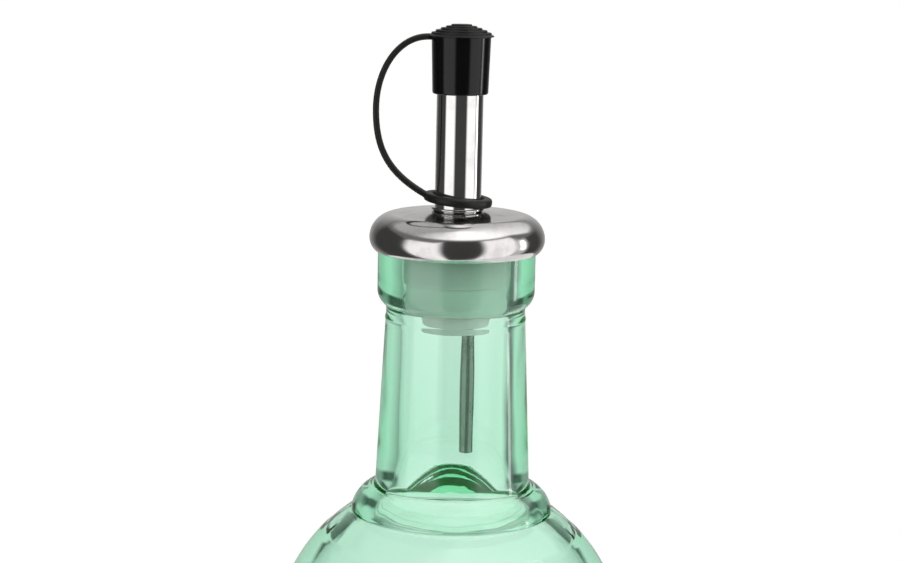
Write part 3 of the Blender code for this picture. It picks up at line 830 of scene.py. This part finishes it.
def vent_outline():
    inner = VENT_RADIUS - TUBE_WALL
    line = [(inner, VENT_END_Z), (VENT_RADIUS - 0.1, VENT_END_Z), (VENT_RADIUS, VENT_END_Z + 0.1)]
    line += [(VENT_RADIUS, VENT_TOP_Z), (inner, VENT_TOP_Z)]
    return line + line[:1]


TUBE_STEEL = buffed_steel("polished_stainless_tube", 0.03, 0.07, "#e2e0df", "#d6d4d3", 3000.0, 0.05)
# painted dark reflection: the vent's grey is much darker than the spout's, for the dark it mirrors inside the
# bottle
VENT_STEEL_PAINTED_DARK = buffed_steel("drawn_stainless_tube_painted_dark", 0.2, 0.3, "#a19f9a", "#8e8c88", 5000.0, 0.1)
spout = turn_on_lathe("steel_spout", spout_outline(), 128, TUBE_STEEL)
vent = turn_on_lathe("steel_vent", vent_outline(), 64, VENT_STEEL_PAINTED_DARK)
vent.data.transform(Matrix.Translation((VENT_X * MM, 0, 0)))
for tube, node in ((spout, "spout"), (vent, "vent_tube")):
    tube.data.set_sharp_from_angle(angle=math.radians(40))
    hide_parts(node)
    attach(tube, "root")

# %% [markdown]
# ## The rubber cap
# Cap, strap and ring are one moulding of black rubber. The mould was polished round the cap's side, so
# that part is glossy, and its stepped top and the strap are dull. The same shader does both: a mask by
# height and a fine noise set the roughness. The cap and the ring come off the lathe. The strap follows
# its own curve, so it is swept along that curve, and a Boolean union makes the three one body.

# %% Rubber
CAP_STEPS = ((2.2, 242.5), (3.3, 242.15), (4.4, 241.75), (5.5, 241.3), (6.4, 240.8))
CAP_STEP_FOOT_Z = 240.4
CAP_FLANGE_RADIUS = 7.0
CAP_FLANGE_Z = 240.15
CAP_FLANGE_UNDER_Z = 239.8
CAP_TOP_RADIUS = 6.35
CAP_BOTTOM_RADIUS = 6.0
CAP_BOTTOM_Z = 227.7
CAP_CHAMFER = 0.45
CAP_BORE_RADIUS = SPOUT_RADIUS + 0.25
CAP_BORE_TOP_Z = SPOUT_TOP_Z + GAP
RING_Z = 205.0
RING_RADIUS = 6.45
RING_SIDE = 1.95
RING_HEIGHT = 1.9
RING_TILT = math.radians(5.5)
STRAP_THICKNESS = 1.35
STRAP_WIDTH = 3.0
STRAP_TOP, STRAP_WIDEST, STRAP_FOOT = (-5.9, 239.7), (-17.95, 224.3), (-6.3, 205.5)
STRAP_TOP_PULLS = (-12.9, 240.5), (-17.95, 233.0)
STRAP_FOOT_PULLS = (-17.95, 214.8), (-14.6, 210.0)
DULL_TOP = (239.9, 240.2)
DULL_AWAY = (6.6, 7.4)
DULL_BELOW = (220.0, 219.0)


def moulded_rubber():
    material, tree, output = new_material("moulded_black_rubber")
    place = add_node(tree, "ShaderNodeTexCoord").outputs["Object"]
    split = add_node(tree, "ShaderNodeSeparateXYZ", links={0: place}).outputs
    flat = add_node(tree, "ShaderNodeCombineXYZ", links={"X": split["X"], "Y": split["Y"]}).outputs[0]
    radius = add_node(tree, "ShaderNodeVectorMath", links={0: flat}, operation="LENGTH").outputs["Value"]
    top = add_node(tree, "ShaderNodeMapRange", {"From Min": DULL_TOP[0] * MM, "From Max": DULL_TOP[1] * MM},
                   {"Value": split["Z"]}).outputs["Result"]
    away = add_node(tree, "ShaderNodeMapRange",
                    {"From Min": DULL_AWAY[0] * MM, "From Max": DULL_AWAY[1] * MM},
                    {"Value": radius}).outputs["Result"]
    low = add_node(tree, "ShaderNodeMapRange",
                   {"From Min": DULL_BELOW[0] * MM, "From Max": DULL_BELOW[1] * MM},
                   {"Value": split["Z"]}).outputs["Result"]
    dull_a = add_node(tree, "ShaderNodeMath", links={0: top, 1: away}, operation="MAXIMUM").outputs[0]
    dull = add_node(tree, "ShaderNodeMath", links={0: dull_a, 1: low}, operation="MAXIMUM").outputs[0]
    speck = add_node(tree, "ShaderNodeTexNoise", {"Scale": 2400.0, "Detail": 3.0},
                     {"Vector": place}).outputs[0]
    rough_base = add_node(tree, "ShaderNodeMapRange", {"To Min": 0.1, "To Max": 0.4},
                          {"Value": dull}).outputs["Result"]
    rough = add_node(tree, "ShaderNodeMath", {1: 0.06}, {0: speck, 2: rough_base},
                     operation="MULTIPLY_ADD").outputs[0]
    colour = add_node(
        tree, "ShaderNodeMix", {6: (*linear("#0a0a0a"), 1), 7: (*linear("#1d1d1c"), 1)}, {0: dull},
        data_type="RGBA",
    ).outputs[2]
    bump = add_node(tree, "ShaderNodeBump", {"Strength": 0.15, "Distance": 0.03 * MM},
                    {"Height": speck}).outputs[0]
    shader = add_node(tree, "ShaderNodeBsdfPrincipled", {"IOR": 1.5, "Specular IOR Level": 0.3},
                      {"Base Color": colour, "Roughness": rough, "Normal": bump})
    tree.links.new(shader.outputs[0], output.inputs["Surface"])
    return material


RUBBER = moulded_rubber()
print("rubber ready")

# %% Cap, ring and strap
def cap_outline():
    line = [(0, CAP_STEPS[0][1])]
    feet = [height for _, height in CAP_STEPS[1:]] + [CAP_STEP_FOOT_Z]
    edge = 0.1
    for (radius, height), foot in zip(CAP_STEPS, feet):
        line += arc(radius - edge, height - edge, edge, 90, 0, 3) + [(radius + 0.06, foot + 0.02)]
    line += [(CAP_FLANGE_RADIUS - 0.15, CAP_FLANGE_Z + 0.04)]
    line += arc(CAP_FLANGE_RADIUS - 0.15, CAP_FLANGE_Z - 0.11, 0.15, 90, -60, 5)
    line += [(CAP_TOP_RADIUS, CAP_FLANGE_UNDER_Z)]
    line += straight((CAP_TOP_RADIUS, CAP_FLANGE_UNDER_Z), (CAP_BOTTOM_RADIUS, CAP_BOTTOM_Z + CAP_CHAMFER), 8)
    line += arc(CAP_BOTTOM_RADIUS - CAP_CHAMFER, CAP_BOTTOM_Z + CAP_CHAMFER, CAP_CHAMFER, 0, -90, 6)
    line += [(CAP_BORE_RADIUS, CAP_BOTTOM_Z), (CAP_BORE_RADIUS, CAP_BORE_TOP_Z), (0, CAP_BORE_TOP_Z)]
    return line


def ring_outline():
    """The ring's rounded section, about its own middle height."""
    line = []
    for k in range(25):
        turn = math.tau * (k % 24 + 0.5) / 24
        line.append((
            RING_RADIUS + RING_SIDE / 2 * math.copysign(abs(math.cos(turn)) ** 0.7, math.cos(turn)),
            RING_HEIGHT / 2 * math.copysign(abs(math.sin(turn)) ** 0.7, math.sin(turn)),
        ))
    return line


def bezier(start, out, into, end, steps):
    """Points along one cubic stretch, without its last."""
    found = []
    for k in range(steps):
        t = k / steps
        weights = ((1 - t) ** 3, 3 * t * (1 - t) ** 2, 3 * t * t * (1 - t), t**3)
        pulls = zip(weights, (start, out, into, end))
        found.append(sum((weight * Vector(place) for weight, place in pulls), Vector((0, 0))))
    return found


def sweep_strap():
    """A flat band with round edges, swept along its curve in the XZ plane."""
    way = bezier(STRAP_TOP, *STRAP_TOP_PULLS, STRAP_WIDEST, 40)
    way += bezier(STRAP_WIDEST, *STRAP_FOOT_PULLS, STRAP_FOOT, 40) + [Vector(STRAP_FOOT)]
    section = []
    for k in range(24):
        turn = math.tau * k / 24
        section.append((
            STRAP_THICKNESS / 2 * math.copysign(abs(math.cos(turn)) ** 0.6, math.cos(turn)),
            STRAP_WIDTH / 2 * math.copysign(abs(math.sin(turn)) ** 0.6, math.sin(turn)),
        ))
    band = bmesh.new()
    rings = []
    for k, point in enumerate(way):
        along = (way[min(k + 1, len(way) - 1)] - way[max(k - 1, 0)]).normalized()
        across = Vector((along.y, -along.x))
        rings.append([
            band.verts.new(((point.x + across.x * t) * MM, w * MM, (point.y + across.y * t) * MM))
            for t, w in section
        ])
    for first, second in zip(rings[:-1], rings[1:]):
        for k in range(len(section)):
            after = (k + 1) % len(section)
            band.faces.new((first[k], first[after], second[after], second[k]))
    band.faces.new(rings[0])
    band.faces.new(rings[-1])
    mesh = bpy.data.meshes.new("strap")
    band.to_mesh(mesh)
    band.free()
    mesh.materials.append(RUBBER)
    made = bpy.data.objects.new("strap", mesh)
    bpy.context.scene.collection.objects.link(made)
    face_outwards(made)
    return made


def unite(body, others):
    """Joins closed pieces into body with exact Booleans and removes them."""
    for other in others:
        union = body.modifiers.new("join_" + other.name, "BOOLEAN")
        union.operation = "UNION"
        union.solver = "EXACT"
        union.object = other
    graph = bpy.context.evaluated_depsgraph_get()
    joined = bpy.data.meshes.new_from_object(body.evaluated_get(graph))
    body.modifiers.clear()
    body.data = joined
    for other in others:
        bpy.data.objects.remove(other, do_unlink=True)
    joined.shade_smooth()
    joined.set_sharp_from_angle(angle=math.radians(38))


cap = turn_on_lathe("rubber_cap", cap_outline(), 128, RUBBER)
ring = turn_on_lathe("ring", ring_outline(), 128, RUBBER)
tilt = Euler((0, RING_TILT, 0)).to_matrix().to_4x4()
ring.data.transform(Matrix.Translation((0, 0, RING_Z * MM)) @ tilt)
unite(cap, [sweep_strap(), ring])
face_outwards(cap)
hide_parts("cap")
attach(cap, "root")

# %% [markdown]
# ## Render settings
# Thick glass catches light: in the bead a ray may be reflected inside dozens of times before it comes
# out, ever greener. Each of those turns is a glossy bounce, so both glossy and transmission bounces are
# raised. With the usual few, such places turn black. The plain Standard view keeps the white background
# white.

# %% View and bounces
scene = bpy.context.scene
scene.view_settings.view_transform = "Standard"
scene.view_settings.look = "None"
scene.cycles.max_bounces = 64
scene.cycles.transmission_bounces = 60
scene.cycles.glossy_bounces = 60
scene.cycles.diffuse_bounces = 4
scene.cycles.transparent_max_bounces = 64
scene.cycles.caustics_refractive = True
scene.cycles.caustics_reflective = False
scene.cycles.sample_clamp_indirect = 8.0
print("bounces", scene.cycles.max_bounces)
